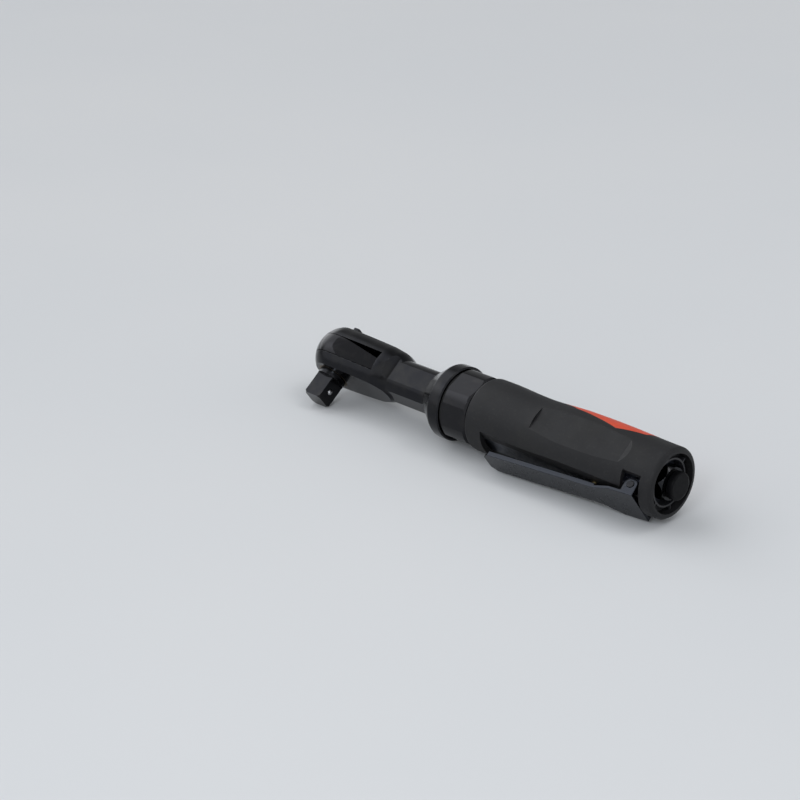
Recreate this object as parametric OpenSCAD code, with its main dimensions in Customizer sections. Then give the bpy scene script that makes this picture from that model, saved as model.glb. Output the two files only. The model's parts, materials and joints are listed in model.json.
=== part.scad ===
// Air ratchet with a rocking-yoke head, planetary drive, vane motor and rubber grip.
// All lengths are in millimetres and all angles in degrees.
// Each module is drawn in the tool's own frame: x runs from the drive axis to the air inlet,
// and the square drive points along -z. lay() puts the finished tool down on its side.

// Sub-part to draw, or all of them

/* [Lying pose] */
// Roll about the tool axis, from drive straight down to lying on its side
roll = -52.5; // [-90:0.5:0]

/* [Head] */
// Radius of the ball nose
nose_r = 19.3; // [18.8:0.1:22]
// Radius of the round head at the floor of the slot
head_back = 17.3; // [16.5:0.1:19]
// Drive plane to the face of the upper cheek
head_top = 15.6; // [14.5:0.1:17]
// Drive plane to the face of the lower cheek
head_low = 13; // [12.5:0.1:16]
// Half the height of the yoke slot
slot_half = 6.5; // [5:0.1:7.5]
// Drive axis to the floor of the yoke slot
slot_x = 38; // [37:0.5:46]

/* [Drive] */
// Square drive across flats
square_af = 12.7; // [9.5:0.1:12.9]
// Length of the square
square_len = 15.5; // [11:0.5:20]
// Length of the journal below the lower cheek
journal_proud = 3.4; // [0.4:0.1:4]
// Radius of the anvil's lower journal
journal_r = 9.2; // [9:0.1:9.9]
// Wall of the drive bushing
bushing_wall = 1.3; // [1:0.1:1.6]
// Radius of the anvil's upper journal
upper_journal_r = 5.6; // [5.2:0.1:6]
// Radius of the reversing spindle
spindle_r = 3.1; // [2.6:0.1:3.2]
// Radius of the reversing knob
knob_r = 10.2; // [9.8:0.1:12]
// Height of the finger bar on the reversing knob
knob_bar = 2.4; // [2:0.1:6]
// Length of the finger bar
knob_bar_len = 15.6; // [8:0.2:18]
// Teeth inside the yoke
yoke_teeth = 24; // [18:1:30]
// Depth of the yoke's teeth
yoke_tooth = 1.4; // [0.8:0.1:1.6]
// Swing of the yoke to each side
yoke_swing = 3; // [1:0.5:4]
// Half the thickness of the yoke's tail at its end
tail_end = 3.8; // [3:0.1:4.5]
// Radius of the detent ball
ball_r = 2; // [1.5:0.1:2.2]

/* [Neck and flange] */
// Length of the taper behind the slot
taper_len = 14; // [12:0.5:20]
// Radius of the hollow on each side of the taper
scoop_r = 8.5; // [6:0.5:12]
// Radius of the neck over its corners
neck_r = 13.4; // [12.8:0.1:16]
// Half the width of the neck over its flats
neck_flat = 11.8; // [11.5:0.1:14]
// Length of the neck
neck_len = 28; // [24:0.5:40]
// Length of the flare
flare_len = 11; // [9:0.5:16]
// Radius of the flange
flange_r = 23; // [22:0.1:27]
// Length of the flange
flange_len = 9.8; // [8:0.2:14]
// Rounding of the flange's front edge
flange_round = 2.6; // [1:0.2:4]
// Width of the dark ring behind the flange
seal_gap = 1.4; // [0.8:0.1:2.5]
// Length of the clamp collar
collar_len = 18.8; // [15:0.2:24]
// Radius of the clamp collar
collar_r = 22; // [21.8:0.1:26]
// Half the width of the collar over its flats
collar_flat = 20.8; // [20.5:0.1:24]
// Turn of the collar's flats about the tool axis
collar_turn = -11.5; // [-30:0.5:30]

/* [Gears and crank] */
// Gear module
gear_m = 0.95; // [0.8:0.01:0.98]
// Length of the planet gears
gear_face = 8.5; // [6:0.5:11]
// Throw of the crank pin
crank_throw = 1.6; // [1:0.1:1.8]
// Radius of the crank pin
crank_pin_r = 2.4; // [2:0.1:2.6]
// Radius of the roller on the crank pin
roller_r = 3.6; // [3:0.1:3.8]
// Radius of the crank journal
crank_r = 6; // [5:0.1:6.5]
// Wall of the crank bearing
bearing_wall = 3; // [2:0.1:3.5]

/* [Motor] */
// Radius of the motor bore
bore_r = 16.4; // [16.3:0.05:16.7]
// Rotor radius
rotor_r = 12.4; // [11:0.1:12.5]
// Radius of the cylinder's offset bore
cylinder_r = 13.9; // [13.85:0.05:14.2]
// Offset of the cylinder's bore
cylinder_offset = 1.2; // [0.6:0.1:1.2]
// Rotor length
rotor_len = 48; // [36:1:54]
// Thickness of the end plates
plate_t = 6; // [5:0.2:8]
// Rotor shaft radius
shaft_r = 4.4; // [3.6:0.1:4.4]
// Blade thickness
blade_t = 1.8; // [1.2:0.1:2.2]

/* [Grip] */
// Length of the rubber grip
grip_len = 136; // [128:1:165]
// Radius of the rubber grip
grip_r = 22.2; // [22:0.1:26]
// Depth of the grip's waist
grip_waist = 1.2; // [0:0.1:1.4]
// Radius of the motor housing inside the grip
housing_r = 18.6; // [18.4:0.1:18.8]
// Depth of the open hood at the back
hood_len = 8; // [5:0.5:12]
// Wall of the hood
hood_wall = 3.4; // [2.4:0.1:4.4]
// Front of the grip to the flat side panels
panel_at = 46.5; // [36:0.5:56]
// Length of the side panels
panel_len = 64.5; // [40:0.5:66]
// Depth of the side panels
panel_depth = 1.4; // [0.6:0.1:1.6]
// Front of the grip to the front tip of the accent inlay
inlay_at = 44.2; // [36:0.2:50]
// Length of the accent inlay
inlay_len = 73; // [66:1:76]
// Front tip of the accent inlay to its widest place
inlay_wide_at = 52; // [45:1:56]
// Half the width of the accent inlay at its widest
inlay_half = 18.7; // [12:0.1:19]
// Half the width of the accent inlay at its tips
inlay_tip = 5.5; // [3:0.5:8]
// Depth of the recess for the accent inlay
inlay_depth = 1.3; // [0.8:0.1:1.4]

/* [Throttle] */
// Lever length, from its pivot to its free end
lever_len = 103; // [80:1:112]
// Lever width
lever_w = 18; // [14:0.5:22]
// Lever sheet thickness
lever_t = 1.8; // [1.2:0.1:2.4]
// Lever travel
lever_travel = 4; // [2:0.5:5]
// Radius of the lever's hinge lugs
lug_r = 4.2; // [3.4:0.1:4.6]
// Radius of the lever pin
lever_pin_r = 2; // [1.5:0.1:2.4]
// Lever pivot to the valve stem
stem_arm = 30; // [26:0.5:34]
// Radius of the valve stem
stem_r = 2; // [1.5:0.1:2.4]

/* [Inlet] */
// Wall radius of the air inlet's thread
thread_r = 5.72; // [5:0.01:6.2]
// Length of the air inlet's thread
thread_len = 13; // [10:0.5:14]
// Radius of the inlet screen
screen_r = 5; // [4.5:0.1:5]
// Inlet hexagon across flats
hex_af = 19; // [17.5:0.5:22]
// Turn of the inlet hexagon about the tool axis
hex_turn = 4.5; // [-30:0.5:30]
// Radius of the dust plug
plug_r = 8.3; // [7.5:0.1:10]
// Thickness of the dust plug's head
plug_t = 3.6; // [2:0.2:6]

/* [Fits] */
// Radial clearance of running shafts and pins
run_fit = 0.05; // [0.02:0.01:0.1]
// Clearance of the yoke to each cheek
yoke_gap = 0.4; // [0.1:0.05:0.6]
// Clearance between flat faces that slide
slide_gap = 0.1; // [0.05:0.05:0.3]
// Clearance between pieces that pass each other
pass_gap = 0.4; // [0.3:0.05:0.6]
// Clearance between fixed pieces that are screwed or pressed together
seat_gap = 0.02; // [0.01:0.01:0.05]

/* [Hidden] */
$fn = 96;
over = 40;

// Places along the tool
x_neck = slot_x + taper_len;
x_flare = x_neck + neck_len;
x_ring = x_flare + flare_len;
x_flange = x_ring + flange_len;
x_collar = x_flange + seal_gap;
x_grip = x_collar + collar_len;
x_back = x_grip + grip_len;
house_end = x_back - hood_len;
pivot_x = house_end - 6;
valve_x = pivot_x - stem_arm;

// Head and drive
yoke_half = slot_half - yoke_gap;
core_half = yoke_half - slide_gap;
head_lift = (head_top - head_low) / 2;
flank_r = nose_r - 0.25;
core_r = journal_r - 0.2;
tip_r = core_r + 0.5;
cheek_floor = head_top - 4.1;
washer_r = upper_journal_r + 3.2;
collar_bore = washer_r + pass_gap;
square_z = -head_low - journal_proud;
drive_end = square_len - square_z;
pocket_x = spindle_r + 0.5;
pocket_half = core_half - 1.7;
pawl_back = pocket_x + 0.9;
pawl_r = core_r - 0.6;
pivot_pawl = pawl_back + 1.5;
pawl_half = pawl_r * 0.81;
pawl_pin_r = 1.3;
plunger_r = 1.1;
ball_proud = 0.85;
ball_x = square_af / 2 + ball_proud - ball_r;
ball_z = square_z - square_len / 2;
knob_z = head_top + 0.3;
knob_t = 1.2;
knob_bar_w = 4.6;

// Crank
tail_x = slot_x - 3;
roller_x = tail_x - 8.5;
roller_len = 7;
tail_swing = tail_x * sin(yoke_swing);
tail_slot = roller_r + crank_throw + tail_swing + pass_gap;
tail_wall = 2.5;
tail_half = tail_slot + tail_wall;
tail_angle = atan2(tail_half, tail_x) + acos(flank_r / norm([tail_x, tail_half]));
tail_wide = (flank_r + over * cos(tail_angle)) / sin(tail_angle);
pin_end = slot_x + 7;
bearing_r = crank_r + run_fit + bearing_wall;
bearing_x = x_neck + 4;
bearing_len = neck_len - 6;
carrier_t = 4.5;
carrier_x = x_ring - carrier_t + 0.5;

// Gears
sun_teeth = 12;
planet_teeth = 9;
ring_teeth = sun_teeth + 2 * planet_teeth;
pressure = 25;
addendum = 0.8 * gear_m;
dedendum = 1.05 * gear_m;
backlash = 0.06;
sun_pitch = sun_teeth * gear_m / 2;
planet_pitch = planet_teeth * gear_m / 2;
ring_pitch = ring_teeth * gear_m / 2;
planet_orbit = sun_pitch + planet_pitch;
planet_pin_r = 1.75;
carrier_r = planet_orbit + planet_pin_r + 1.5;
ring_x = carrier_x + carrier_t + 0.2;
planet_x = ring_x + 0.3;
ring_len = gear_face + 3;
ring_r = bore_r - seat_gap;

// Motor
plate_x = ring_x + ring_len + 0.1;
cyl_x = plate_x + plate_t + 0.1;
end_gap = 0.4;
cyl_len = rotor_len + 2 * end_gap;
rotor_x = cyl_x + end_gap;
rear_plate_x = cyl_x + cyl_len + 0.1;
motor_end = rear_plate_x + plate_t + 0.3;
plate_r = bore_r - seat_gap;
race_r = shaft_r + run_fit + 4;
race_w = plate_t - 1.4;
rear_shaft_r = shaft_r - 0.6;
rear_race_r = rear_shaft_r + run_fit + 4;
dowel_r = 1.1;
dowel_z = -(bore_r + cylinder_r - cylinder_offset) / 2;
slot_floor = rotor_r / 2;

// Collar joint
spigot_r = housing_r + 0.3;
spigot_x = x_collar + collar_len * 0.4;

// Grip
flat_z = -housing_r + 1.1;
front_round = 2.5;
hood_round = 2.4;
rear_drop = 1.2;
hood_in = grip_r - rear_drop - hood_wall;
grip_steps = 34;
waist_at = 0.3;
waist_span = 0.24;
panel_x = x_grip + panel_at;
panel_ramp = 5;
inlay_x = x_grip + inlay_at;
inlay_front = inlay_wide_at * 0.365;
inlay_rear = inlay_wide_at + (inlay_len - inlay_wide_at) * 0.81;
inlay_shoulder = inlay_half * 0.77;
notch_z = -9.8;
notch_x0 = pivot_x - lug_r - 2.2;
notch_x1 = pivot_x + lug_r + 2;
notch_y = 11.9;

// Throttle
pivot_z = flat_z + 3;
plate_top = flat_z - 1.6 - pivot_z;
lug_y0 = notch_y + pass_gap;
pin_out = sqrt(pow(housing_r, 2) - pow(pivot_z - lever_pin_r, 2)) - 0.6;
lug_t = 1.6;
lever_nose = 4;
lever_bay = pivot_x - lever_len - 6;
stem_travel = stem_arm * tan(lever_travel);
stem_low = flat_z - 1.6 - stem_travel + 0.3;
seat_z = -3.4;
head_z = seat_z + 0.2;
head_t = 1.8;
poppet_r = stem_r + 2.6;
chamber_r = poppet_r + 0.6;
chamber_top = 9.2;
plug_hole_r = chamber_r + 0.8;
spring_wire = 0.45;
coil_len = chamber_top - head_z - head_t - stem_travel - 0.5;

// Inlet
bush_r = 8.4;
bush_x = house_end - 12;
hex_x = house_end + 0.1;
hex_len = 7.5;
lip_len = 1.6;
mouth_x = hex_x + hex_len + lip_len;
mouth_r = thread_r + 1.2;
thread_x1 = mouth_x - 4.6;
thread_x0 = thread_x1 - thread_len;
screen_t = 1;
plug_x = mouth_x + 0.2;
plug_face = plug_x + plug_t;

// Exhaust
vanes = 6;
vane_r = hex_af * 0.7;
vane_t = 1;
vane_plate = 1.2;
vane_len = hood_len * 0.65;
port_r = 1.6;
port_at = vane_r + vane_t + port_r;
port_step = 13;

// Lying place: the drive corner or the lever corner carries the tool on the floor
sag = -roll;
drive_low = drive_end * cos(sag) + square_af / 2 * sin(sag);
lever_tip = (lever_t - plate_top) * cos(lever_travel)
    + (lever_len - lever_nose) * sin(lever_travel) - pivot_z;
lever_low = lever_tip * cos(sag) + lever_w / 2 * sin(sag);
axis_height = max(drive_low, lever_low, flange_r);
shift_x = (nose_r - plug_face) / 2;
shift_y = (drive_end * sin(sag) + square_af / 2 * cos(sag) - flange_r) / 2;

module lay()
    translate([shift_x, shift_y, axis_height])
        rotate([roll, 0, 0])
            children();

// Helpers: local z becomes the tool's x
module axial(x = 0)
    translate([x, 0, 0])
        rotate([0, 90, 0])
            children();

module tube_x(x, len, r_out, r_in)
    axial(x)
        difference() {
            cylinder(h = len, r = r_out);
            translate([0, 0, -1])
                cylinder(h = len + 2, r = r_in);
        }

module tube_z(z, len, r_out, r_in)
    translate([0, 0, z])
        difference() {
            cylinder(h = len, r = r_out);
            translate([0, 0, -1])
                cylinder(h = len + 2, r = r_in);
        }

module both_sides() {
    children();
    mirror([0, 1, 0])
        children();
}

// Involute tooth outline: half angle of a tooth at radius r
function inv(a) = tan(a) * 180 / PI - a;
function base_r(teeth) = teeth * gear_m / 2 * cos(pressure);
function half_angle(teeth, r, extra) =
    90 / teeth + inv(pressure) - inv(acos(min(1, base_r(teeth) / max(r, base_r(teeth)))))
    + extra / (teeth * gear_m / 2) * 180 / PI;
function polar(r, a) = [r * cos(a), r * sin(a)];

flank_steps = 5;
function flank(teeth, r_in, r_out, extra, centre, side) =
    [for (k = [0 : flank_steps])
        let (r = r_in + (r_out - r_in) * (side < 0 ? k : flank_steps - k) / flank_steps)
        polar(r, centre + side * half_angle(teeth, r, extra))];
function gear_points(teeth, r_in, r_out, extra, phase) =
    [for (i = [0 : teeth - 1])
        let (c = phase + i * 360 / teeth)
        each concat(flank(teeth, r_in, r_out, extra, c, -1),
                    flank(teeth, r_in, r_out, extra, c, 1))];

// Ratchet head
// Turned form of the head: a ball nose, a swelling barrel and a short taper to the neck
module head_form()
    translate([0, 0, head_lift])
        axial()
            rotate_extrude()
                polygon(concat(
                    [for (a = [0 : 6 : 84]) [nose_r * sin(a), -nose_r * cos(a)]],
                    [for (i = [0 : 4])
                        [nose_r - (nose_r - head_back) * pow(i / 4, 1.6), (slot_x + 1) * i / 4]],
                    [for (s = [[0.26, 0.47], [0.51, 0.66], [1, 1]])
                        [head_back + (neck_flat - 1 - head_back) * s[0],
                         slot_x + 1 + (taper_len + 2) * s[1]]],
                    [[0, x_neck + 3]]));

// The form between the cheeks' faces, with a hollow on each side of the taper
module head_solid()
    difference() {
        intersection() {
            head_form();
            translate([-over, -over, -head_low])
                cube([3 * over, 2 * over, head_top + head_low]);
        }
        both_sides()
            translate([x_neck, neck_flat + scoop_r - 0.3, -over])
                cylinder(h = 2 * over, r = scoop_r);
    }

module neck_solid()
    intersection() {
        axial(x_neck - 6)
            cylinder(h = neck_len + 8, r = neck_r);
        translate([x_neck - 6, -neck_flat, -neck_flat])
            cube([neck_len + 8, 2 * neck_flat, 2 * neck_flat]);
    }

module flare_solid()
    axial()
        rotate_extrude()
            polygon([[0, x_flare - 1], [neck_flat - 0.6, x_flare - 1], [neck_r + 0.8, x_flare + 1],
                     [flange_r - flange_round * 0.6, x_ring],
                     [flange_r - flange_round * 0.28, x_ring + flange_round * 0.35],
                     [flange_r - flange_round * 0.08, x_ring + flange_round * 0.7],
                     [flange_r, x_ring + flange_round], [flange_r, x_flange - 0.8],
                     [flange_r - 0.8, x_flange], [spigot_r, x_flange], [spigot_r, spigot_x],
                     [0, spigot_x]]);

module ratchet_housing()
    color([0.11, 0.11, 0.12])
        difference() {
            union() {
                head_solid();
                neck_solid();
                flare_solid();
            }
            translate([-over, -over, -slot_half])
                cube([over + slot_x, 2 * over, 2 * slot_half]);
            translate([0, 0, -over])
                cylinder(h = over, r = journal_r + run_fit + bushing_wall);
            cylinder(h = over, r = upper_journal_r + run_fit);
            translate([0, 0, cheek_floor])
                cylinder(h = over, r = collar_bore);
            axial(slot_x - 1)
                cylinder(h = bearing_x - slot_x + 2, r = crank_r + 1);
            axial(bearing_x)
                cylinder(h = bearing_len, r = bearing_r + seat_gap);
            axial(bearing_x + bearing_len - 1)
                cylinder(h = carrier_x - bearing_x - bearing_len + 2, r = crank_r + 1);
            axial(carrier_x - pass_gap)
                cylinder(h = carrier_t + 2, r = carrier_r + 0.6);
            axial(ring_x - 0.1)
                cylinder(h = over, r = bore_r);
        }

module drive_bushing()
    color([0.62, 0.45, 0.22])
        tube_z(-head_low, head_low - slot_half, journal_r + run_fit + bushing_wall - seat_gap,
               journal_r + run_fit);

module yoke_teeth_hole()
    translate([0, 0, -over / 2])
        linear_extrude(height = over)
            polygon([for (i = [0 : 2 * yoke_teeth - 1])
                polar(i % 2 == 0 ? tip_r : tip_r + yoke_tooth, i * 180 / yoke_teeth)]);

module ratchet_yoke()
    color([0.36, 0.36, 0.38])
        difference() {
            intersection() {
                head_form();
                translate([0, 0, -over])
                    linear_extrude(height = 2 * over)
                        polygon([[-over, -tail_wide], [tail_x, -tail_half],
                                 [tail_x, tail_half], [-over, tail_wide]]);
                translate([0, over, 0])
                    rotate([90, 0, 0])
                        linear_extrude(height = 2 * over)
                            polygon([[-over, -yoke_half], [tip_r, -yoke_half], [tail_x, -tail_end],
                                     [tail_x, tail_end], [tip_r, yoke_half], [-over, yoke_half]]);
            }
            yoke_teeth_hole();
            translate([roller_x - 2, -tail_slot, -over / 2])
                cube([over, 2 * tail_slot, over]);
        }

module square_bar()
    intersection() {
        translate([-square_af / 2, -square_af / 2, -drive_end])
            cube([square_af, square_af, square_len + 1]);
        translate([0, 0, -drive_end])
            cylinder(h = square_len + 1, r1 = square_af * 0.6, r2 = square_af * 0.6 + square_len + 1);
    }

module anvil()
    color([0.40, 0.40, 0.42])
        difference() {
            union() {
                translate([0, 0, -core_half])
                    cylinder(h = 2 * core_half, r = core_r);
                translate([0, 0, square_z])
                    cylinder(h = -square_z - slot_half, r = journal_r);
                translate([0, 0, -slot_half - 0.5])
                    cylinder(h = 1, r = core_r);
                cylinder(h = head_top - 0.7, r = upper_journal_r);
                square_bar();
            }
            translate([pocket_x, -over / 2, -pocket_half])
                cube([over, over, 2 * pocket_half]);
            translate([pivot_pawl, 0, -core_half + 0.5])
                cylinder(h = 2 * core_half - 1, r = pawl_pin_r + seat_gap);
            translate([0, 0, -pocket_half])
                cylinder(h = over, r = spindle_r + run_fit);
            translate([0, -plunger_r - 1.6, -plunger_r - 0.4])
                cube([pocket_x + 1, 2 * plunger_r + 3.2, 2 * plunger_r + 0.8]);
            tube_z(head_top - 2.2, 1, upper_journal_r + 1, upper_journal_r - 0.55);
            translate([0.5, 0, ball_z])
                rotate([0, 90, 0])
                    cylinder(h = over, r = ball_r + run_fit);
        }

module pawl()
    color([0.46, 0.46, 0.48])
        difference() {
            intersection() {
                translate([0, 0, -pocket_half + slide_gap])
                    cylinder(h = 2 * (pocket_half - slide_gap), r = pawl_r);
                translate([pawl_back, -pawl_half, -over])
                    cube([over, 2 * pawl_half, 2 * over]);
            }
            translate([pawl_r + 2.6, 0, -over])
                cylinder(h = 2 * over, r = 3);
            translate([pivot_pawl, 0, -over])
                cylinder(h = 2 * over, r = pawl_pin_r + run_fit);
        }

module pawl_pin()
    color([0.70, 0.70, 0.72])
        translate([pivot_pawl, 0, -core_half + 0.6])
            cylinder(h = 2 * core_half - 1.2, r = pawl_pin_r);

module pawl_plunger()
    color([0.70, 0.70, 0.72])
        translate([0.8, 0, 0])
            rotate([0, 90, 0])
                cylinder(h = pawl_back - 0.4 - 0.8, r = plunger_r);

module reverse_lever()
    color([0.10, 0.10, 0.11])
        difference() {
            union() {
                translate([0, 0, knob_z])
                    cylinder(h = knob_t - 0.8, r = knob_r);
                translate([0, 0, knob_z + knob_t - 0.8])
                    cylinder(h = 0.8, r1 = knob_r, r2 = knob_r - 0.8);
                translate([0, 0, -pocket_half + 0.2])
                    cylinder(h = knob_z + pocket_half + 0.3, r = spindle_r);
                intersection() {
                    translate([-knob_bar_w / 2, -over / 2, knob_z + 0.2])
                        cube([knob_bar_w, over, knob_t - 0.2 + knob_bar]);
                    translate([0, 0, knob_z])
                        cylinder(h = over, r = knob_bar_len / 2);
                }
            }
            translate([0.7, 0, 0])
                rotate([0, 90, 0])
                    cylinder(h = over, r = plunger_r + seat_gap);
        }

module thrust_washer()
    color([0.62, 0.45, 0.22])
        tube_z(cheek_floor + slide_gap, 0.8, washer_r, upper_journal_r + seat_gap);

module wave_washer()
    color([0.55, 0.55, 0.57])
        tube_z(cheek_floor + slide_gap + 0.9, 0.6, washer_r - 0.3, upper_journal_r + seat_gap);

module retaining_ring()
    color([0.16, 0.16, 0.17])
        difference() {
            tube_z(head_top - 2.1, 0.8, upper_journal_r + 2, upper_journal_r - 0.5);
            translate([0, -1.6, 0])
                cube([over, 3.2, over]);
        }

module detent_ball()
    color([0.78, 0.78, 0.80])
        translate([ball_x, 0, ball_z])
            sphere(r = ball_r);

module detent_spring()
    color([0.70, 0.70, 0.72])
        translate([0.7, 0, ball_z])
            rotate([0, 90, 0])
                difference() {
                    cylinder(h = ball_x - ball_r - 1.3, r = ball_r - 0.3);
                    translate([0, 0, -1])
                        cylinder(h = over, r = ball_r - 0.8);
                }

// Crank and planetary gears
module crankshaft()
    color([0.44, 0.44, 0.46])
        axial()
            difference() {
                union() {
                    translate([0, crank_throw, roller_x - 0.5])
                        cylinder(h = pin_end - roller_x + 1, r = crank_pin_r);
                    translate([0, 0, pin_end])
                        cylinder(h = carrier_x - pin_end + 1, r = crank_r);
                    translate([0, 0, carrier_x])
                        cylinder(h = carrier_t, r = carrier_r);
                }
                for (i = [0 : 2])
                    rotate([0, 0, 120 * i])
                        translate([planet_orbit, 0, carrier_x - 1])
                            cylinder(h = carrier_t + 2, r = planet_pin_r + seat_gap);
            }

module crank_roller()
    color([0.66, 0.66, 0.68])
        translate([0, crank_throw, 0])
            tube_x(roller_x, roller_len, roller_r, crank_pin_r + seat_gap);

module crank_bearing()
    color([0.60, 0.60, 0.62])
        tube_x(bearing_x + 0.1, bearing_len - 0.2, bearing_r, crank_r + run_fit);

module planet_gear(i)
    color([0.52, 0.52, 0.54])
        axial(planet_x)
            rotate([0, 0, 120 * i])
                translate([planet_orbit, 0, 0])
                    difference() {
                        linear_extrude(height = gear_face)
                            polygon(gear_points(planet_teeth, planet_pitch - dedendum,
                                                planet_pitch + addendum, -backlash, 180));
                        translate([0, 0, -1])
                            cylinder(h = gear_face + 2, r = planet_pin_r + run_fit);
                    }

module planet_gear_1() planet_gear(0);

module planet_gear_2() planet_gear(1);

module planet_gear_3() planet_gear(2);

module planet_pins()
    color([0.72, 0.72, 0.74])
        axial()
            for (i = [0 : 2])
                rotate([0, 0, 120 * i])
                    translate([planet_orbit, 0, carrier_x + 0.2])
                        cylinder(h = planet_x + gear_face + 0.3 - carrier_x, r = planet_pin_r);

module ring_gear()
    color([0.40, 0.40, 0.42])
        axial(ring_x)
            difference() {
                cylinder(h = ring_len, r = ring_r);
                translate([0, 0, -1])
                    linear_extrude(height = ring_len + 2)
                        polygon(gear_points(ring_teeth, ring_pitch - addendum,
                                            ring_pitch + dedendum, backlash, 180 / ring_teeth));
            }

// Collar joint
module flange_seal()
    color([0.03, 0.03, 0.03])
        tube_x(x_flange, seal_gap, collar_r - 1.2, spigot_r + seat_gap);

module clamp_collar()
    color([0.12, 0.12, 0.13])
        axial()
            difference() {
                intersection() {
                    rotate_extrude()
                        polygon([[0, x_collar], [collar_r - 0.5, x_collar], [collar_r, x_collar + 0.5],
                                 [collar_r, x_grip - 1.4], [collar_flat - 0.3, x_grip], [0, x_grip]]);
                    translate([0, 0, x_collar - 1])
                        rotate([0, 0, collar_turn])
                            cylinder(h = collar_len + 2, r = collar_flat / cos(30), $fn = 6);
                }
                translate([0, 0, x_collar - 1])
                    cylinder(h = collar_len + 2, r = spigot_r + seat_gap);
            }

// Motor
module front_end_plate()
    color([0.58, 0.58, 0.60])
        axial(plate_x)
            difference() {
                cylinder(h = plate_t, r = plate_r);
                translate([0, 0, -1])
                    cylinder(h = race_w + 1.1, r = race_r + seat_gap);
                cylinder(h = over, r = shaft_r + pass_gap);
                translate([-dowel_z, 0, plate_t - 3])
                    cylinder(h = over, r = dowel_r + seat_gap);
            }

module front_bearing()
    color([0.72, 0.72, 0.74])
        tube_x(plate_x, race_w, race_r, shaft_r + run_fit);

module rotor()
    color([0.50, 0.50, 0.52])
        axial()
            difference() {
                union() {
                    translate([0, 0, planet_x])
                        linear_extrude(height = gear_face + 0.6)
                            polygon(gear_points(sun_teeth, sun_pitch - dedendum,
                                                sun_pitch + addendum, -backlash, 180 / sun_teeth));
                    translate([0, 0, planet_x + gear_face + 0.3])
                        cylinder(h = rotor_x - planet_x - gear_face + 0.7, r = shaft_r);
                    translate([0, 0, rotor_x])
                        cylinder(h = rotor_len, r = rotor_r);
                    translate([0, 0, rotor_x + rotor_len - 1])
                        cylinder(h = rear_plate_x + plate_t - rotor_x - rotor_len, r = rear_shaft_r);
                }
                for (i = [0 : 4])
                    rotate([0, 0, 72 * i])
                        translate([slot_floor, -blade_t / 2 - run_fit, rotor_x - 0.1])
                            cube([over, blade_t + 2 * run_fit, rotor_len + 0.2]);
            }

module rotor_blades()
    color([0.30, 0.17, 0.08])
        axial()
            for (i = [0 : 4])
                rotate([0, 0, 72 * i])
                    translate([slot_floor + 0.4, -blade_t / 2, rotor_x + 0.1])
                        cube([rotor_r - slot_floor - 0.6, blade_t, rotor_len - 0.2]);

module air_cylinder()
    color([0.56, 0.56, 0.58])
        axial(cyl_x)
            difference() {
                cylinder(h = cyl_len, r = plate_r);
                translate([-cylinder_offset, 0, -1])
                    cylinder(h = cyl_len + 2, r = cylinder_r);
                translate([-dowel_z, 0, -1])
                    cylinder(h = cyl_len + 2, r = dowel_r + seat_gap);
            }

module cylinder_dowel()
    color([0.72, 0.72, 0.74])
        axial(plate_x + plate_t - 2.8)
            translate([-dowel_z, 0, 0])
                cylinder(h = cyl_len + 5.6, r = dowel_r);

module rear_end_plate()
    color([0.58, 0.58, 0.60])
        axial(rear_plate_x)
            difference() {
                cylinder(h = plate_t, r = plate_r);
                translate([0, 0, plate_t - race_w])
                    cylinder(h = over, r = rear_race_r + seat_gap);
                translate([0, 0, -1])
                    cylinder(h = over, r = rear_shaft_r + pass_gap);
                translate([-dowel_z, 0, -1])
                    cylinder(h = 4.2, r = dowel_r + seat_gap);
                for (s = [-1, 1])
                    translate([0, s * (rear_race_r + plate_r) / 2, -1])
                        cylinder(h = over, r = 1.6);
            }

module rear_bearing()
    color([0.72, 0.72, 0.74])
        tube_x(rear_plate_x + plate_t - race_w, race_w, rear_race_r, rear_shaft_r + run_fit);

module valve_chamber() {
    translate([valve_x, 0, seat_z])
        cylinder(h = chamber_top - seat_z, r = chamber_r);
    translate([valve_x, 0, chamber_top - 0.1])
        cylinder(h = over, r = plug_hole_r + seat_gap);
    translate([valve_x, 0, -over])
        cylinder(h = over, r = stem_r + run_fit);
    translate([valve_x, 0, seat_z - 4.6])
        cylinder(h = 5, r = stem_r + 1.2);
}

module exhaust_ports()
    both_sides()
        for (a = [-port_step, 0, port_step])
            rotate([a, 0, 0])
                translate([0, port_at, 0])
                    axial(motor_end - 1)
                        cylinder(h = house_end - motor_end + over, r = port_r);

module motor_housing()
    color([0.14, 0.14, 0.15])
        difference() {
            union() {
                axial(spigot_x + 0.3)
                    cylinder(h = x_grip - spigot_x - 0.3, r = spigot_r);
                axial(x_grip - 1)
                    cylinder(h = house_end - x_grip + 1, r = housing_r);
            }
            translate([x_grip + 1, -over, flat_z - over])
                cube([grip_len, 2 * over, over]);
            axial(spigot_x - 1)
                cylinder(h = motor_end - spigot_x + 1, r = bore_r);
            axial(bush_x)
                cylinder(h = over, r = bush_r + seat_gap);
            axial(valve_x)
                cylinder(h = bush_x - valve_x + 1, r = 4.2);
            valve_chamber();
            translate([0, 0, seat_z - 2.4])
                axial(motor_end - 1)
                    cylinder(h = valve_x - motor_end + 1, r = 2.1);
            both_sides() {
                translate([notch_x0, notch_y, -over])
                    cube([over, over, over + notch_z]);
            }
            exhaust_ports();
            translate([pivot_x, over, pivot_z])
                rotate([90, 0, 0])
                    cylinder(h = 2 * over, r = lever_pin_r + seat_gap);
        }

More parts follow.
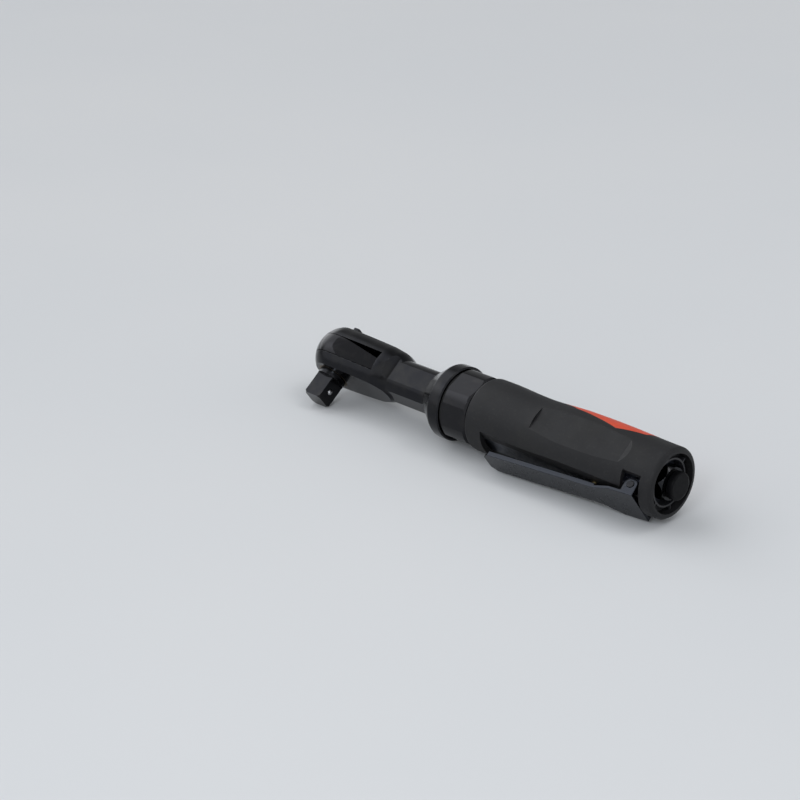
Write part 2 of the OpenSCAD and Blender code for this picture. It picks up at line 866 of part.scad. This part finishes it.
// Grip
function bump(u) = abs(u) < 1 ? (1 + cos(180 * u)) / 2 : 0;
function drop(t) = t > 0.62 ? rear_drop * (1 - cos(180 * (t - 0.62) / 0.38)) / 2 : 0;
function skin_r(t) = grip_r - grip_waist * bump((t - waist_at) / waist_span) - drop(t);
function skin_points(off) = concat(
    [for (a = [0 : 15 : 90])
        [skin_r(0) - front_round + front_round * sin(a) + off,
         x_grip + front_round * (1 - cos(a))]],
    [for (i = [1 : grip_steps - 1])
        [skin_r(i / grip_steps) + off, x_grip + grip_len * i / grip_steps]],
    [for (a = [0 : 15 : 90])
        [skin_r(1) - hood_round + hood_round * cos(a) + off,
         x_back - hood_round * (1 - sin(a))]]);

module grip_skin(off = 0)
    axial()
        rotate_extrude()
            polygon(concat([[0, x_grip]], skin_points(off), [[0, x_back]]));

module skin_shell(outside, inside)
    difference() {
        axial(x_grip - 1)
            cylinder(h = grip_len + 2, r = grip_r + outside);
        grip_skin(inside);
    }

// Height of the panel's flat at a distance from the front of the grip
function panel_y(at) = skin_r(at / grip_len) - panel_depth;

module panel_cut()
    translate([panel_x, 0, -over / 2])
        linear_extrude(height = over)
            polygon([[0, panel_y(panel_at)], [panel_len, panel_y(panel_at + panel_len)],
                     [panel_len + panel_ramp, panel_y(panel_at + panel_len) + panel_depth + 0.2],
                     [panel_len + panel_ramp, over], [0, over]]);

module inlay_prism(shrink = 0)
    translate([inlay_x, 0, 0])
        linear_extrude(height = over)
            polygon([[shrink, shrink - inlay_tip], [inlay_front, shrink - inlay_shoulder],
                     [inlay_wide_at, shrink - inlay_half], [inlay_rear, shrink - inlay_shoulder],
                     [inlay_len - shrink, shrink - inlay_tip], [inlay_len - shrink, inlay_tip - shrink],
                     [inlay_rear, inlay_shoulder - shrink], [inlay_wide_at, inlay_half - shrink],
                     [inlay_front, inlay_shoulder - shrink], [shrink, inlay_tip - shrink]]);

module grip_sleeve()
    color([0.07, 0.07, 0.08])
        difference() {
            grip_skin();
            axial(x_grip - 1)
                cylinder(h = grip_len - hood_len + 1.1, r = housing_r + seat_gap);
            axial(house_end)
                cylinder(h = over, r = hood_in);
            translate([lever_bay, -over, flat_z - over])
                cube([house_end - lever_bay, 2 * over, over]);
            both_sides() {
                panel_cut();
                translate([notch_x0, pin_out, flat_z - over])
                    cube([notch_x1 - notch_x0, over, over + notch_z - flat_z]);
            }
            intersection() {
                inlay_prism();
                skin_shell(5, -inlay_depth);
            }
        }

module accent_inlay()
    color([0.85, 0.22, 0.10])
        intersection() {
            inlay_prism(seat_gap);
            difference() {
                grip_skin(0.05);
                grip_skin(-inlay_depth + seat_gap);
            }
        }

// Throttle
module lever_plan()
    polygon([[-lever_len, -lever_w * 0.3], [lever_nose - lever_len, -lever_w / 2], [-24, -lever_w / 2],
             [-12, -lug_y0 - lug_t], [lug_r, -lug_y0 - lug_t], [lug_r, lug_y0 + lug_t],
             [-12, lug_y0 + lug_t], [-24, lever_w / 2], [lever_nose - lever_len, lever_w / 2],
             [-lever_len, lever_w * 0.3]]);

module throttle_lever()
    color([0.09, 0.09, 0.11])
        translate([pivot_x, 0, pivot_z])
            rotate([0, -lever_travel, 0])
                difference() {
                    union() {
                        translate([0, 0, plate_top - lever_t])
                            linear_extrude(height = lever_t)
                                lever_plan();
                        both_sides() {
                            translate([lever_nose - lever_len, lever_w / 2 - lug_t, plate_top - 0.1])
                                cube([lever_len - 28, lug_t, 1.3]);
                            translate([-lug_r, lug_y0, plate_top - 0.1])
                                cube([2 * lug_r, lug_t, 0.1 - plate_top]);
                            translate([0, lug_y0, 0])
                                rotate([-90, 0, 0])
                                    cylinder(h = lug_t, r = lug_r);
                        }
                    }
                    translate([0, over, 0])
                        rotate([90, 0, 0])
                            cylinder(h = 2 * over, r = lever_pin_r + run_fit);
                }

module lever_pin()
    color([0.72, 0.72, 0.74])
        translate([pivot_x, lug_y0 + lug_t + 0.4, pivot_z])
            rotate([90, 0, 0])
                cylinder(h = 2 * (lug_y0 + lug_t + 0.4), r = lever_pin_r);

module valve_stem()
    color([0.74, 0.62, 0.32])
        translate([valve_x, 0, 0]) {
            translate([0, 0, stem_low])
                cylinder(h = head_z - stem_low + 0.5, r = stem_r);
            translate([0, 0, head_z])
                cylinder(h = head_t, r = poppet_r);
        }

// Coil stand-in: a thin wall with one wave per coil
module coil(len, r, wire, turns)
    rotate_extrude()
        polygon(concat(
            [for (i = [0 : 8 * turns])
                [r + wire - wire * cos(45 * i) / 2, len * i / (8 * turns)]],
            [for (i = [8 * turns : -1 : 0])
                [r - wire / 2 - wire * cos(45 * i) / 2, len * i / (8 * turns)]]));

module valve_spring()
    color([0.70, 0.70, 0.72])
        translate([valve_x, 0, chamber_top - coil_len - 0.1])
            coil(coil_len, poppet_r - 1.6, 2 * spring_wire, 4);

module valve_plug()
    color([0.60, 0.60, 0.62])
        translate([valve_x, 0, chamber_top])
            difference() {
                cylinder(h = 6.6, r = plug_hole_r);
                translate([0, 0, 3.2])
                    cylinder(h = over, r = 2.9, $fn = 6);
            }

// Inlet
module inlet_bushing()
    color([0.16, 0.16, 0.17])
        axial()
            difference() {
                union() {
                    translate([0, 0, bush_x + 0.1])
                        cylinder(h = hex_x - bush_x, r = bush_r);
                    intersection() {
                        translate([0, 0, hex_x])
                            rotate([0, 0, hex_turn])
                                cylinder(h = hex_len, r = hex_af / 2 / cos(30), $fn = 6);
                        translate([0, 0, hex_x])
                            cylinder(h = hex_len, r1 = hex_af * 0.5 + hex_len * 0.6, r2 = hex_af * 0.5);
                    }
                    translate([0, 0, hex_x + hex_len - 1])
                        cylinder(h = lip_len + 1, r = mouth_r + 1.2);
                }
                translate([0, 0, bush_x - 1])
                    cylinder(h = over, r = thread_r - 1.4);
                translate([0, 0, thread_x0 - screen_t - 0.1])
                    cylinder(h = over, r = screen_r);
                translate([0, 0, thread_x0])
                    cylinder(h = over, r = thread_r);
                translate([0, 0, thread_x1])
                    cylinder(h = over, r = mouth_r);
            }

module inlet_screen()
    color([0.66, 0.66, 0.68])
        axial(thread_x0 - screen_t)
            difference() {
                cylinder(h = screen_t - 0.1, r = screen_r - seat_gap);
                for (i = [0 : 5])
                    rotate([0, 0, 60 * i])
                        translate([screen_r * 0.5, 0, -1])
                            cylinder(h = screen_t + 2, r = 0.8);
                translate([0, 0, -1])
                    cylinder(h = screen_t + 2, r = 0.8);
            }

module inlet_plug()
    color([0.05, 0.05, 0.05])
        axial()
            rotate_extrude()
                polygon([[0, thread_x1 + 0.6], [mouth_r - 1, thread_x1 + 0.6],
                         [mouth_r - 0.35, thread_x1 + 1.4], [mouth_r - 0.35, plug_x],
                         [plug_r, plug_x], [plug_r, plug_face - 1],
                         [plug_r - 0.3, plug_face - 0.3], [plug_r - 1, plug_face], [0, plug_face]]);

module exhaust_deflector()
    color([0.10, 0.10, 0.11])
        difference() {
            axial(house_end + 0.1)
                difference() {
                    union() {
                        cylinder(h = vane_plate, r = hood_in - seat_gap);
                        cylinder(h = vane_len, r = vane_r + vane_t);
                        for (i = [0 : vanes - 1])
                            rotate([0, 0, i * 360 / vanes])
                                translate([vane_r + vane_t / 2, -vane_t / 2, 0])
                                    cube([hood_in - vane_r - vane_t, vane_t, vane_len]);
                    }
                    translate([0, 0, -1])
                        cylinder(h = vane_len + 2, r = vane_r);
                }
            exhaust_ports();
        }

lay() ratchet_housing();
lay() drive_bushing();
lay() ratchet_yoke();
lay() anvil();
lay() pawl();
lay() pawl_pin();
lay() pawl_plunger();
lay() reverse_lever();
lay() thrust_washer();
lay() wave_washer();
lay() retaining_ring();
lay() detent_ball();
lay() detent_spring();
lay() crankshaft();
lay() crank_roller();
lay() crank_bearing();
lay() planet_gear_1();
lay() planet_gear_2();
lay() planet_gear_3();
lay() planet_pins();
lay() ring_gear();
lay() flange_seal();
lay() clamp_collar();
lay() front_end_plate();
lay() front_bearing();
lay() rotor();
lay() rotor_blades();
lay() air_cylinder();
lay() cylinder_dowel();
lay() rear_end_plate();
lay() rear_bearing();
lay() motor_housing();
lay() grip_sleeve();
lay() accent_inlay();
lay() throttle_lever();
lay() lever_pin();
lay() valve_stem();
lay() valve_spring();
lay() valve_plug();
lay() inlet_bushing();
lay() inlet_screen();
lay() inlet_plug();
lay() exhaust_deflector();
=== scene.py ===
"""Looks of an air ratchet lying on its side: finishes, rounded edges, stage, light and camera."""

import json
import math

import bpy
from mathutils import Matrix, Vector

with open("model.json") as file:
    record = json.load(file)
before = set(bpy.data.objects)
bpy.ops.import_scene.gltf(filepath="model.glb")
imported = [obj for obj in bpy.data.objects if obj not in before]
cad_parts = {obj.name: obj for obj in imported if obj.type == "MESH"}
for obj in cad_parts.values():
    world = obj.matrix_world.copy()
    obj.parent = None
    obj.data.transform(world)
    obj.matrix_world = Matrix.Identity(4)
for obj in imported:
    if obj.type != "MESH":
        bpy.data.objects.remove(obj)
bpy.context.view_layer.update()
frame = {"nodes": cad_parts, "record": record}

nodes = frame["nodes"]

# Units
MM = 0.001

# Camera, at the photograph's viewing angle
CAMERA_AIM = Vector((-0.08975, 0.0200, 0.0012))
CAMERA_AZIMUTH = 44.37
CAMERA_ELEVATION = 23.37
CAMERA_DISTANCE = 1.2938
CAMERA_LENS = 93.0
SENSOR_WIDTH = 36.0

# Stage: a pale floor in a plain room that is brighter on the left
FLOOR_SIZE = 12.0
FLOOR_DROP = 0.3 * MM
ROOM_COLOR = (0.95, 0.97, 1.0)
ROOM_BASE = 0.33
# Bright parts of the room: direction, where the glow starts and is full, added level
ROOM_GLOWS = (
    ((-0.68, -0.15, 0.72), 0.79, 0.98, 1.40),
    ((-0.58, -0.70, 0.42), 0.82, 0.97, 0.90),
    ((-0.93, 0.23, 0.15), 0.88, 0.98, 1.35),
    ((1.00, -0.20, 0.30), 0.00, 0.80, 0.60),
)
# Soft boxes: name, place, size, power, colour
SOFT_BOXES = (
    ("top_box", (0.70, 0.50, 1.80), 0.60, 3.5, (1.0, 1.0, 1.0)),
    ("front_box", (0.55, -1.25, 0.95), 0.35, 4.6, (0.86, 0.93, 1.0)),
)

# Agreement of the rounded normal with the flat one, where the edge tint (wear, and on the black plastics
# also a painted highlight) starts and where it is full
EDGE_TINT_STARTS = 0.995
EDGE_TINT_FULL = 0.90
EDGE_TINT_SAMPLES = 4

# Places of a mix node's colour sockets and of its number sockets
MIX_COLORS = (6, 7)
MIX_COLOR_OUT = 2
MIX_NUMBERS = (2, 3)
MIX_NUMBER_OUT = 0
RANGE_SOCKETS = ("From Min", "From Max", "To Min", "To Max")


# Helpers for colours and nodes
def opaque(color):
    return (*color, 1.0)


def scaled(color, factor):
    return tuple(factor * part for part in color)


def feed(tree, socket, value):
    """Links value to socket if value is a socket too, and otherwise sets it there."""
    if isinstance(value, bpy.types.NodeSocket):
        tree.links.new(value, socket)
    else:
        socket.default_value = value


def set_range(node, limits):
    """Sets a map range node's limits: the two it maps from, then the two it maps to."""
    for key, number in zip(RANGE_SOCKETS, limits):
        node.inputs[key].default_value = number


# Material layers
class Surface:
    """A principled material whose colour, roughness and bump are built up in layers."""

    def __init__(self, name, color, roughness, metallic=0.0, ior=1.5):
        self.material = bpy.data.materials.new(name)
        self.material.use_nodes = True
        self.tree = self.material.node_tree
        self.shader = self.tree.nodes["Principled BSDF"]
        self.shader.inputs["Metallic"].default_value = metallic
        self.shader.inputs["IOR"].default_value = ior
        self.place = self.add("ShaderNodeTexCoord").outputs["Object"]
        self.color = opaque(color)
        self.roughness = roughness
        self.normal = None

    def add(self, kind, **values):
        node = self.tree.nodes.new(kind)
        for key, value in values.items():
            setattr(node, key, value)
        return node

    def feed(self, socket, value):
        feed(self.tree, socket, value)

    def noise(self, size, detail=3.0, stretch=(1, 1, 1)):
        """Noise with features about size metres wide, drawn out by stretch along each axis."""
        mapping = self.add("ShaderNodeMapping")
        mapping.inputs["Scale"].default_value = [1 / (size * factor) for factor in stretch]
        self.feed(mapping.inputs["Vector"], self.place)
        texture = self.add("ShaderNodeTexNoise")
        texture.inputs["Scale"].default_value = 1.0
        texture.inputs["Detail"].default_value = detail
        self.feed(texture.inputs["Vector"], mapping.outputs["Vector"])
        return texture.outputs["Fac"]

    def pebbles(self, size):
        """Rounded cells about size metres wide, as on a moulded grain."""
        texture = self.add("ShaderNodeTexVoronoi", feature="SMOOTH_F1")
        texture.inputs["Scale"].default_value = 1 / size
        self.feed(texture.inputs["Vector"], self.place)
        return texture.outputs["Distance"]

    def edges(self, radius):
        """1 on edges, falling to 0 a radius away from them."""
        rounded = self.add("ShaderNodeBevel", samples=EDGE_TINT_SAMPLES)
        rounded.inputs["Radius"].default_value = radius
        flat = self.add("ShaderNodeNewGeometry").outputs["Normal"]
        facing = self.add("ShaderNodeVectorMath", operation="DOT_PRODUCT")
        self.feed(facing.inputs[0], rounded.outputs["Normal"])
        self.feed(facing.inputs[1], flat)
        return self.span(facing.outputs["Value"], EDGE_TINT_STARTS, EDGE_TINT_FULL)

    def span(self, value, start, full):
        """0 until value reaches start, rising to 1 where it reaches full."""
        ranged = self.add("ShaderNodeMapRange", clamp=True)
        self.feed(ranged.inputs["Value"], value)
        set_range(ranged, (start, full, 0.0, 1.0))
        return ranged.outputs["Result"]

    def times(self, first, second):
        product = self.add("ShaderNodeMath", operation="MULTIPLY")
        self.feed(product.inputs[0], first)
        self.feed(product.inputs[1], second)
        return product.outputs["Value"]

    def tint(self, mask, color):
        """The colour turns to color where mask is 1."""
        mix = self.add("ShaderNodeMix", data_type="RGBA")
        self.feed(mix.inputs["Factor"], mask)
        for index, value in zip(MIX_COLORS, (self.color, opaque(color))):
            self.feed(mix.inputs[index], value)
        self.color = mix.outputs[MIX_COLOR_OUT]

    def polish(self, mask, roughness):
        """The roughness turns to roughness where mask is 1."""
        mix = self.add("ShaderNodeMix", data_type="FLOAT")
        self.feed(mix.inputs["Factor"], mask)
        for index, value in zip(MIX_NUMBERS, (self.roughness, roughness)):
            self.feed(mix.inputs[index], value)
        self.roughness = mix.outputs[MIX_NUMBER_OUT]

    def tint_edges(self, radius, patch, start, full, color, detail=5):
        """The colour turns to color on edges, in patches about patch metres wide."""
        edges = self.edges(radius)
        patches = self.span(self.noise(patch, detail), start, full)
        self.tint(self.times(edges, patches), color)

    def bump(self, height, depth, strength=1.0):
        """Relief of depth metres from a height of 0 to 1, on top of any relief before it."""
        bump = self.add("ShaderNodeBump")
        bump.inputs["Strength"].default_value = strength
        bump.inputs["Distance"].default_value = depth
        self.feed(bump.inputs["Height"], height)
        if self.normal is not None:
            self.feed(bump.inputs["Normal"], self.normal)
        self.normal = bump.outputs["Normal"]

    def done(self):
        self.feed(self.shader.inputs["Base Color"], self.color)
        self.feed(self.shader.inputs["Roughness"], self.roughness)
        if self.normal is not None:
            self.feed(self.shader.inputs["Normal"], self.normal)
        return self.material


# Materials
def black_steel():
    """Black oxide on forged and machined steel."""
    skin = Surface("black_steel", (0.022, 0.0225, 0.025), 0.15, metallic=1.0)
    cloud = skin.noise(9 * MM, detail=4)
    skin.tint(skin.span(cloud, 0.45, 0.75), (0.030, 0.0297, 0.030))
    skin.polish(skin.span(cloud, 0.35, 0.75), 0.25)
    skin.bump(skin.noise(0.35 * MM, detail=3), 0.006 * MM)
    skin.tint_edges(radius=0.35 * MM, patch=2.2 * MM, start=0.42, full=0.62, color=(0.085, 0.086, 0.090))
    return skin.done()


def blued_steel():
    """Heat-blued pressed steel of the throttle lever."""
    skin = Surface("blued_steel", (0.034, 0.037, 0.044), 0.20, metallic=1.0)
    cloud = skin.noise(6 * MM, detail=4)
    skin.tint(skin.span(cloud, 0.45, 0.75), (0.040, 0.042, 0.047))
    skin.polish(skin.span(cloud, 0.35, 0.75), 0.32)
    skin.bump(skin.noise(0.35 * MM, detail=3), 0.005 * MM)
    skin.tint_edges(radius=0.35 * MM, patch=2 * MM, start=0.42, full=0.62, color=(0.13, 0.135, 0.15))
    return skin.done()


def polished_black():
    """Black oxide on the ground and polished yoke and collar."""
    skin = Surface("polished_black", (0.026, 0.026, 0.028), 0.12, metallic=1.0)
    streak = skin.noise(0.5 * MM, detail=3, stretch=(1, 1, 14))
    skin.polish(skin.span(streak, 0.35, 0.75), 0.20)
    skin.tint(skin.span(skin.noise(6 * MM, detail=4), 0.5, 0.8), (0.034, 0.0335, 0.034))
    skin.bump(streak, 0.003 * MM)
    skin.tint_edges(radius=0.3 * MM, patch=1.8 * MM, start=0.45, full=0.62, color=(0.090, 0.089, 0.088))
    return skin.done()


def machined_metal(name, color, rough):
    """Bare metal with fine tool marks and a faint film of oil."""
    oily = scaled(color, 0.72)
    matt = rough + 0.14
    skin = Surface(name, color, rough, metallic=1.0)
    cut = skin.noise(0.22 * MM, detail=2, stretch=(1, 12, 12))
    skin.polish(skin.span(cut, 0.3, 0.7), matt)
    skin.tint(skin.span(skin.noise(5 * MM, detail=4), 0.45, 0.8), oily)
    skin.bump(cut, 0.004 * MM)
    return skin.done()


def black_alloy():
    """Dark anodised motor case."""
    skin = Surface("black_alloy", (0.052, 0.057, 0.074), 0.28, metallic=1.0)
    skin.polish(skin.span(skin.noise(3 * MM, detail=4), 0.35, 0.7), 0.44)
    skin.tint(skin.span(skin.noise(7 * MM, detail=3), 0.5, 0.8), (0.058, 0.060, 0.070))
    skin.bump(skin.noise(0.18 * MM, detail=2), 0.005 * MM)
    skin.tint_edges(radius=0.3 * MM, patch=1.5 * MM, start=0.45, full=0.6, color=(0.20, 0.20, 0.21))
    return skin.done()


def grip_rubber():
    """Soft black rubber with a fine moulded grain and some dust rubbed in."""
    skin = Surface("grip_rubber", (0.0100, 0.0100, 0.0112), 0.52, ior=1.33)
    skin.tint(skin.span(skin.noise(26 * MM, detail=4), 0.42, 0.75), (0.0140, 0.0137, 0.0135))
    skin.tint(skin.span(skin.noise(1.6 * MM, detail=5), 0.56, 0.80), (0.0180, 0.0177, 0.0174))
    skin.polish(skin.span(skin.noise(14 * MM, detail=3), 0.4, 0.7), 0.62)
    skin.bump(skin.pebbles(0.42 * MM), 0.020 * MM, strength=0.55)
    skin.bump(skin.noise(0.12 * MM, detail=2), 0.008 * MM, strength=0.5)
    skin.tint_edges(radius=0.5 * MM, patch=3 * MM, start=0.40, full=0.65, color=(0.036, 0.0355, 0.035), detail=4)
    return skin.done()


def seal_rubber():
    """Hard black rubber of the flange seal, near black so that it also paints the shade in the groove
    between flange and collar.
    """
    skin = Surface("seal_rubber", (0.006, 0.006, 0.006), 0.70)
    skin.tint(skin.span(skin.noise(2 * MM, detail=4), 0.5, 0.8), (0.012, 0.012, 0.012))
    skin.bump(skin.noise(0.15 * MM, detail=2), 0.006 * MM)
    return skin.done()


def accent_plastic():
    """Orange-red moulded inlay, lightly textured."""
    skin = Surface("accent_plastic", (0.60, 0.066, 0.025), 0.46, ior=1.42)
    skin.tint(skin.span(skin.noise(8 * MM, detail=4), 0.40, 0.75), (0.54, 0.052, 0.020))
    skin.tint(skin.span(skin.noise(0.8 * MM, detail=4), 0.60, 0.80), (0.66, 0.095, 0.048))
    skin.polish(skin.span(skin.noise(3 * MM, detail=4), 0.4, 0.7), 0.55)
    skin.bump(skin.pebbles(0.30 * MM), 0.010 * MM, strength=0.5)
    skin.tint_edges(radius=0.3 * MM, patch=2 * MM, start=0.45, full=0.6, color=(0.42, 0.07, 0.035), detail=4)
    return skin.done()


def black_plastic(name, color, rough, ior):
    """Moulded black plastic, clouded and with pale edges, partly rubbed wear and partly a painted
    highlight along the rims.
    """
    clouded = scaled(color, 1.5)
    # Pale edge colour: rubbed wear, and also a painted highlight along the plug's rim
    rubbed_and_highlit = scaled(color, 3.5)
    matt = rough + 0.14
    skin = Surface(name, color, rough, ior=ior)
    skin.tint(skin.span(skin.noise(5 * MM, detail=4), 0.45, 0.8), clouded)
    skin.polish(skin.span(skin.noise(2 * MM, detail=3), 0.4, 0.7), matt)
    skin.bump(skin.pebbles(0.25 * MM), 0.010 * MM, strength=0.5)
    skin.tint_edges(radius=0.35 * MM, patch=1.5 * MM, start=0.40, full=0.6, color=rubbed_and_highlit, detail=4)
    return skin.done()


def blade_plastic():
    """Brown laminate of the rotor blades, with its layers along the blade."""
    skin = Surface("blade_plastic", (0.16, 0.085, 0.040), 0.55)
    layers = skin.noise(0.5 * MM, detail=3, stretch=(10, 1, 1))
    skin.tint(skin.span(layers, 0.4, 0.7), (0.22, 0.13, 0.065))
    skin.bump(skin.noise(0.2 * MM, detail=2), 0.006 * MM)
    return skin.done()


def floor_paper():
    """Pale studio floor."""
    skin = Surface("floor_paper", (0.62, 0.63, 0.64), 0.85)
    skin.tint(skin.span(skin.noise(0.5, detail=3), 0.4, 0.7), (0.64, 0.645, 0.65))
    return skin.done()


FINISHES = {
    "black_steel": black_steel(),
    "blued_steel": blued_steel(),
    "polished_black": polished_black(),
    "bright_steel": machined_metal("bright_steel", (0.42, 0.42, 0.43), 0.24),
    "bronze": machined_metal("bronze", (0.55, 0.36, 0.17), 0.30),
    "oiled_bronze": machined_metal("oiled_bronze", (0.105, 0.075, 0.045), 0.34),
    "brass": machined_metal("brass", (0.70, 0.53, 0.25), 0.22),
    "seal_rubber": seal_rubber(),
    "blade_plastic": blade_plastic(),
    "black_alloy": black_alloy(),
    "grip_rubber": grip_rubber(),
    "accent_plastic": accent_plastic(),
    "plug_plastic": black_plastic("plug_plastic", (0.0025, 0.0025, 0.003), 0.34, 1.16),
    "deflector_plastic": black_plastic("deflector_plastic", (0.014, 0.014, 0.016), 0.42, 1.45),
}

# Nodes whose finish differs from their slot's
SPECIAL = {
    "ratchet_yoke": "polished_black",
    "clamp_collar": "polished_black",
    "anvil": "black_steel",
    "throttle_lever": "blued_steel",
    "lever_pin": "black_steel",
    "drive_bushing": "oiled_bronze",
}


def finish_nodes():
    slots = {part["node"]: part["material_slot"] for part in frame["record"]["subparts"]}
    for name, piece in nodes.items():
        finish = FINISHES[SPECIAL.get(name, slots[name])]
        piece.data.materials.clear()
        piece.data.materials.append(finish)


# Rounded edges, as a width in millimetres for each node that has them
EDGE_WIDTHS = {
    "ratchet_housing": 0.5,
    "ratchet_yoke": 0.35,
    "anvil": 0.4,
    "reverse_lever": 0.35,
    "clamp_collar": 0.35,
    "motor_housing": 0.3,
    "grip_sleeve": 0.6,
    "accent_inlay": 0.12,
    "throttle_lever": 0.35,
    "lever_pin": 0.25,
    "inlet_bushing": 0.35,
    "inlet_plug": 0.3,
    "exhaust_deflector": 0.25,
    "retaining_ring": 0.1,
}
# Edges that turn by more degrees than this are rounded, on the grip also the panels' soft ones
EDGE_ANGLE = 24.0
EDGE_ANGLES = {"grip_sleeve": 13.0}
EDGE_STEPS = 3
WELD_REACH = 0.002 * MM


def round_edges():
    for name, width in EDGE_WIDTHS.items():
        piece = nodes[name]
        weld = piece.modifiers.new("weld", "WELD")
        weld.merge_threshold = WELD_REACH
        bevel = piece.modifiers.new("round", "BEVEL")
        bevel.width = width * MM
        bevel.segments = EDGE_STEPS
        bevel.limit_method = "ANGLE"
        bevel.angle_limit = math.radians(EDGE_ANGLES.get(name, EDGE_ANGLE))
        bevel.miter_outer = "MITER_ARC"
        piece.modifiers.new("shade", "WEIGHTED_NORMAL")


# Stage, light and camera
def make_floor():
    bpy.ops.mesh.primitive_plane_add(size=FLOOR_SIZE, location=(0, 0, -FLOOR_DROP))
    floor = bpy.context.object
    floor.name = "floor"
    floor.data.materials.append(floor_paper())


def make_world():
    """A plain room whose level is the base plus each glow around its direction."""
    world = bpy.data.worlds.new("studio")
    bpy.context.scene.world = world
    world.use_nodes = True
    tree = world.node_tree
    background = tree.nodes["Background"]
    background.inputs["Color"].default_value = opaque(ROOM_COLOR)
    direction = tree.nodes.new("ShaderNodeTexCoord").outputs["Generated"]

    level = ROOM_BASE
    for towards, start, full, gain in ROOM_GLOWS:
        facing = tree.nodes.new("ShaderNodeVectorMath")
        facing.operation = "DOT_PRODUCT"
        feed(tree, facing.inputs[0], direction)
        feed(tree, facing.inputs[1], Vector(towards).normalized())
        glow = tree.nodes.new("ShaderNodeMapRange")
        glow.interpolation_type = "SMOOTHSTEP"
        set_range(glow, (start, full, 0.0, gain))
        feed(tree, glow.inputs["Value"], facing.outputs["Value"])
        total = tree.nodes.new("ShaderNodeMath")
        total.operation = "ADD"
        feed(tree, total.inputs[0], glow.outputs["Result"])
        feed(tree, total.inputs[1], level)
        level = total.outputs["Value"]
    feed(tree, background.inputs["Strength"], level)


def make_soft_box(name, place, size, power, color):
    """A square soft box at place, facing the object."""
    lamp = bpy.data.lights.new(name, "AREA")
    lamp.size = size
    lamp.energy = power
    lamp.color = color
    holder = bpy.data.objects.new(name, lamp)
    bpy.context.scene.collection.objects.link(holder)
    holder.location = place
    holder.rotation_mode = "QUATERNION"
    holder.rotation_quaternion = (-Vector(place)).to_track_quat("-Z", "Y")


def make_camera():
    camera = bpy.data.objects.new("camera", bpy.data.cameras.new("camera"))
    bpy.context.scene.collection.objects.link(camera)
    camera.data.lens = CAMERA_LENS
    camera.data.sensor_width = SENSOR_WIDTH
    azimuth = math.radians(CAMERA_AZIMUTH)
    elevation = math.radians(CAMERA_ELEVATION)
    across = math.cos(elevation)
    back = Vector((math.sin(azimuth) * across, -math.cos(azimuth) * across, math.sin(elevation)))
    camera.location = CAMERA_AIM + back * CAMERA_DISTANCE
    camera.rotation_mode = "QUATERNION"
    camera.rotation_quaternion = (-back).to_track_quat("-Z", "Y")
    bpy.context.scene.camera = camera


finish_nodes()
round_edges()
make_floor()
make_world()
for box in SOFT_BOXES:
    make_soft_box(*box)
make_camera()
bpy.context.scene.view_settings.view_transform = "Standard"
